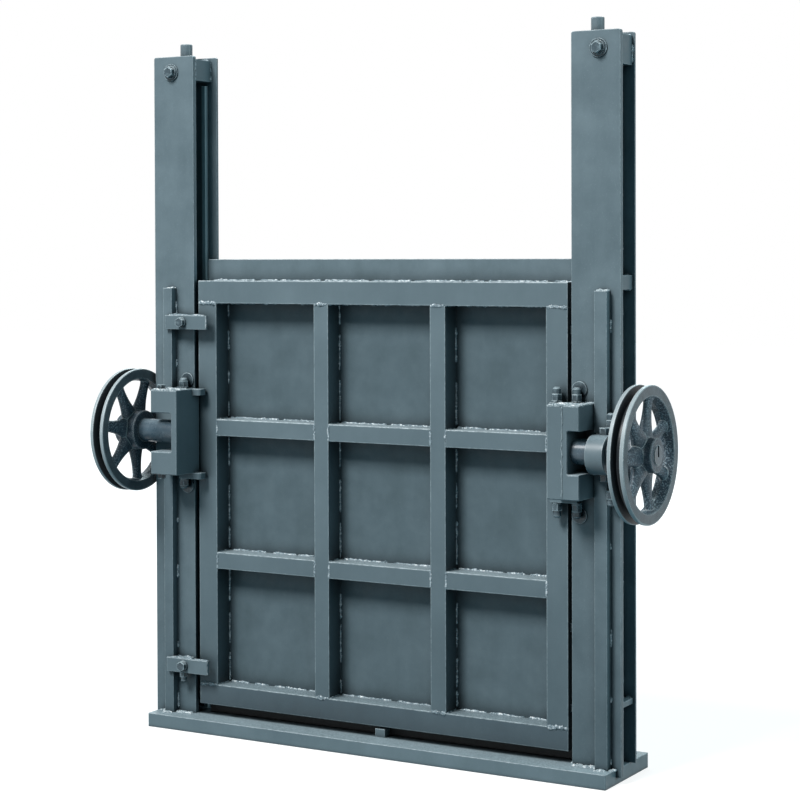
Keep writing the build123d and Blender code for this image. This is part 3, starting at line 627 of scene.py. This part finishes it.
def roughWelds(name, side):
    # thick, spattered welds at the feet on the sill and on top of the guide bar
    at = postPlaces(name)
    near, far, over, seed = at["barNear"], at["barFar"], footRoom["cap"], 71
    edge, front, barFront, barTop = (at[key] for key in ("flangeNear", "front", "barFront", "barTop"))
    lines = [
        ((edge, front, sillTop), (near, front, sillTop), forward, up, footBead),
        ((edge, front, sillTop), (edge, at["inside"], sillTop), left, up, footBead),
        ((near, barFront, sillTop), (far, barFront, sillTop), forward, up, footBead),
        ((far, front, sillTop), (far, barFront, sillTop), right, up, footBead),
        ((far, front, sillTop), (sillEnd[side], front, sillTop), forward, up, footBead),
        ((near - over, front, barTop), (far + over, front, barTop), forward, up, capBead),
    ]
    return laid(mirrored(lines, side), np.random.default_rng(seed + side))


postRoom = {"rib": 0.004, "ribEnd": 0.008, "bracketStart": 0.03}


def postWelds(name, side):
    at, seed = postPlaces(name), 31
    parts = ("_post_web", "_top_block", "_guide_bar", "_bracket", "_stem")
    web, block, bar, bracket, stem = (boxOf(name + part) for part in parts)
    front, inside, rearFace, webFar = (at[key] for key in ("front", "inside", "rearFace", "webFar"))
    blockTop = block[1][2]
    blockNear, blockFar = reach(name + "_top_block")
    bracketFar = reach(name + "_bracket")[1]
    # rear feet on the sill
    lines = [
        ((webFar, inside, sillTop), (webFar, rearFace, sillTop), right, up, heavyBead),
        ((at["rearNear"], at["rearBack"], sillTop), (webFar, at["rearBack"], sillTop), back, up, heavyBead),
    ]
    # web to both flanges, and the bar's tacks
    for y, wayY in ((inside, back), (rearFace, forward)):
        lines.append(((webFar, y, web[0][2]), (webFar, y, web[1][2]), right, wayY, filletBead))
    for x, wayX in ((at["barNear"], left), (at["barFar"], right)):
        lines.append(((x, front, bar[0][2]), (x, front, bar[1][2]), wayX, forward, barBead))
    # top block between the flanges
    for y, wayY in ((inside, back), (rearFace, forward)):
        lines.append(((blockNear, y, block[0][2]), (blockNear, y, blockTop), wayY, left, seamBead))
        lines.append(((blockNear, y, blockTop), (blockFar, y, blockTop), wayY, up, heavyBead))
        lines.append(((blockFar, y, block[0][2]), (blockFar, y, blockTop), wayY, right, filletBead))
    # stiffener plates between the flanges
    for count, z in enumerate(levels(name + "_stiffeners")):
        wayZ = (down, up)[count % 2]
        near, far = inside + postRoom["rib"], rearFace - postRoom["rib"]
        lines.append(((webFar, near, z), (webFar, far, z), right, wayZ, closeBead))
        outer = at["flangeFar"] - postRoom["ribEnd"]
        for y, wayY in ((inside, back), (rearFace, forward)):
            lines.append(((webFar, y, z), (outer, y, z), wayY, wayZ, closeBead))
    # bracket to the flange, over and under
    near, over, under = at["flangeNear"], bracket[1][2], levels(name + "_bracket")[1]
    lines.append(((near, front, over), (bracketFar, front, over), up, forward, closeBead))
    near += postRoom["bracketStart"]
    lines.append(((near, front, under), (bracketFar, front, under), down, forward, closeBead))
    rng = np.random.default_rng(seed + side)
    centre = (*((stem[0] + stem[1]) / 2)[:2], blockTop)
    ring = ringSurface(centre, (stem[1][0] - stem[0][0]) / 2, filletBead, rng)
    return laid(mirrored(lines, side), rng) + [ring]


for name, side in (("left", -1), ("right", 1)):
    buildPiece(name + "PostWelds", postWelds(name, side), glintWeldFinish, "frame")
    buildPiece(name + "FootWelds", roughWelds(name, side), glintRoughWeldFinish, "frame")

# rows of build-up on a bracket's top, behind its face; then the run along its outer edge
crownRoom = {"inward": 0.013, "rows": (0.009, 0.03, 0.055), "edge": 0.008, "edgeFrom": 0.006, "edgeTo": 0.08,
             "bearing": 0.001, "bearingFrom": 0.05, "bearingTo": 0.004, "keeperTip": 0.002}


def crownWelds():
    # build-up along the upper edges of the brackets, and the welds of the bearing and the keepers' ends
    lines, seed = [], 53
    for name, side in (("left", -1), ("right", 1)):
        low, high = boxOf(name + "_bracket")
        face, top = low[1], high[2]
        near, far = reach(name + "_front_flange")[0] - crownRoom["inward"], reach(name + "_bracket")[1]
        for row in crownRoom["rows"]:
            run = ((near, face + row, top), (far, face + row, top), forward, up, crownBead)
            lines += mirrored([run], side)
        edge, start, end = far - crownRoom["edge"], face + crownRoom["edgeFrom"], face + crownRoom["edgeTo"]
        lines += mirrored([((edge, start, top), (edge, end, top), right, up, crownBead)], side)
    low, high = boxOf("right_bearing")
    front = boxOf("right_front_flange")[0][1]
    for z, wayZ in ((low[2], down), (high[2], up)):
        lines.append(((low[0], front, z), (high[0], front, z), wayZ, forward, footBead))
    x, start, end = low[0] + crownRoom["bearing"], crownRoom["bearingFrom"], crownRoom["bearingTo"]
    lines.append(((x, front - start, low[2]), (x, front - end, low[2]), left, down, joinBead))
    for name in ("upper_keeper", "lower_keeper"):
        low, high = boxOf(name)
        tip = (high[0], low[1] + crownRoom["keeperTip"])
        lines.append(((*tip, low[2]), (*tip, high[2]), right, forward, hairBead))
    return laid(lines, np.random.default_rng(seed))


# where the right bracket's two plates meet, across the gate, and the bare length under and over the seam
plateJoint = {"x": 0.533, "under": 0.003, "over": 0.002}


def plateSeam():
    low, high = boxOf("right_bracket")
    x, seed = plateJoint["x"], 59
    foot = (x, low[1], levels("right_bracket")[1] + plateJoint["under"])
    head = (x, low[1], high[2] - plateJoint["over"])
    return laid([(foot, head, right, forward, hairBead)], np.random.default_rng(seed))


keeperRoom = {"tip": 0.004, "flange": 0.005}


def bracketWelds():
    # the keepers on the left guide bar and on the flange behind it
    lines, seed = [], 57
    barFace = boxOf("left_guide_bar")[0][1]
    front = boxOf("left_front_flange")[0][1]
    barNear, flangeNear = reach("left_guide_bar")[0], reach("left_front_flange")[0]
    for name, topBead in (("upper_keeper", filletBead), ("lower_keeper", hairBead)):
        low, high = boxOf(name)
        lines.append(((low[0], barFace, low[2]), (low[0], barFace, high[2]), left, forward, closeBead))
        end = high[0] - keeperRoom["tip"]
        lines.append(((low[0], barFace, high[2]), (end, barFace, high[2]), up, forward, topBead))
        end = -flangeNear - keeperRoom["flange"]
        for z, wayZ in ((low[2], down), (high[2], up)):
            lines.append(((-barNear, front, z), (end, front, z), wayZ, forward, hairBead))
    return laid(lines, np.random.default_rng(seed))


buildPiece("bracketSeam", plateSeam(), plateFinish, "frame")
buildPiece("bracketWelds", bracketWelds(), glintWeldFinish, "frame")
buildPiece("crownWelds", crownWelds(), glintRoughWeldFinish, "frame")
print("welds laid")


# ---- floor, backdrop and light

studio = {
    "keyLamp": {"place": (-1.8, -6.2, 7.9), "size": 3.0, "power": 1180, "colour": (1.0, 1.0, 1.0)},
    "backLamp": {"place": (-3.0, 6.0, 5.5), "size": 4.0, "power": 330, "colour": (0.72, 0.94, 1.0)},
    "sideLamp": {"place": (7.0, 1.0, 3.2), "size": 3.5, "power": 190, "colour": (0.72, 0.94, 1.0)},
    "aim": (0, 0, 0.85), "shadeColour": (0.36, 0.86, 1.0, 1), "worldStrength": 0.1,
    "floorBounce": (0.09, 0.185, 0.225, 1),
    "floorHalf": 20.0, "floorLit": 0.3, "floorGlow": 0.86, "glowNear": 1.4, "glowFar": 3.2,
}


def addLamp(name, look):
    # a square lamp that faces the gate's middle
    data = bpy.data.lights.new(name, "AREA")
    data.size, data.energy, data.color = look["size"], look["power"], look["colour"]
    lamp = bpy.data.objects.new(name, data)
    lamp.location = look["place"]
    ahead = Vector(studio["aim"]) - Vector(look["place"])
    lamp.rotation_euler = ahead.to_track_quat("-Z", "Y").to_euler()
    bpy.context.scene.collection.objects.link(lamp)


for name in ("keyLamp", "backLamp", "sideLamp"):
    addLamp(name, studio[name])

world = bpy.data.worlds.new("studio")
bpy.context.scene.world = world
world.use_nodes = True
sky = world.node_tree
sky.nodes.clear()
# the camera, clear parts and shiny parts see plain white; everything else gets a dim blue shade
ray = addNode(sky, "LightPath")
shown = addNode(sky, "Math", {"operation": "MAXIMUM"},
                {0: ray.outputs["Is Camera Ray"], 1: ray.outputs["Is Transmission Ray"]}, 0)
shown = addNode(sky, "Math", {"operation": "MAXIMUM"}, {0: shown, 1: ray.outputs["Is Glossy Ray"]}, 0)
ends = {"To Min": studio["worldStrength"], "To Max": 1.0}
strength = addNode(sky, "MapRange", ends, {"Value": shown}, "Result")
tint = overlay(sky, studio["shadeColour"], (1, 1, 1, 1), shown)
glow = addNode(sky, "Background", links={"Color": tint, "Strength": strength}, out="Background")
addNode(sky, "OutputWorld", links={"Surface": glow})


def floorPlane():
    # Matt white sweep: the camera sees the backdrop's white, less the object's shadow, and the object
    # gets only a little light back from it
    half = studio["floorHalf"]
    mesh = bpy.data.meshes.new("studioFloor")
    corners = [(-half, -half, 0), (half, -half, 0), (half, half, 0), (-half, half, 0)]
    mesh.from_pydata(corners, [], [(0, 1, 2, 3)])
    floor = bpy.data.objects.new("studioFloor", mesh)
    bpy.context.scene.collection.objects.link(floor)
    material, tree = newMaterial("whiteSweep")
    path = addNode(tree, "LightPath")
    seen = addNode(tree, "Math", {"operation": "MAXIMUM"},
                   {0: path.outputs["Is Camera Ray"], 1: path.outputs["Is Glossy Ray"]}, 0)
    # the glow rises to full white away from the object, where the lamps fall off
    place = addNode(tree, "TexCoord", out="Object")
    away = addNode(tree, "VectorMath", {"operation": "LENGTH"}, {0: place}, "Value")
    ends = {"From Min": studio["glowNear"], "From Max": studio["glowFar"],
            "To Min": studio["floorGlow"], "To Max": 1.0}
    level = addNode(tree, "MapRange", ends, {"Value": away}, "Result")
    glow = addNode(tree, "Emission", {"Color": (1, 1, 1, 1)}, {"Strength": level}, "Emission")
    lit = addNode(tree, "BsdfDiffuse", {"Color": (studio["floorLit"],) * 3 + (1,)}, out="BSDF")
    white = addNode(tree, "AddShader", links={0: lit, 1: glow}, out=0)
    dim = addNode(tree, "BsdfDiffuse", {"Color": studio["floorBounce"]}, out="BSDF")
    both = addNode(tree, "MixShader", links={0: seen, 1: dim, 2: white}, out="Shader")
    addNode(tree, "OutputMaterial", links={"Surface": both})
    mesh.materials.append(material)


floorPlane()
bpy.context.scene.view_settings.view_transform = "Standard"
print("studio lit")
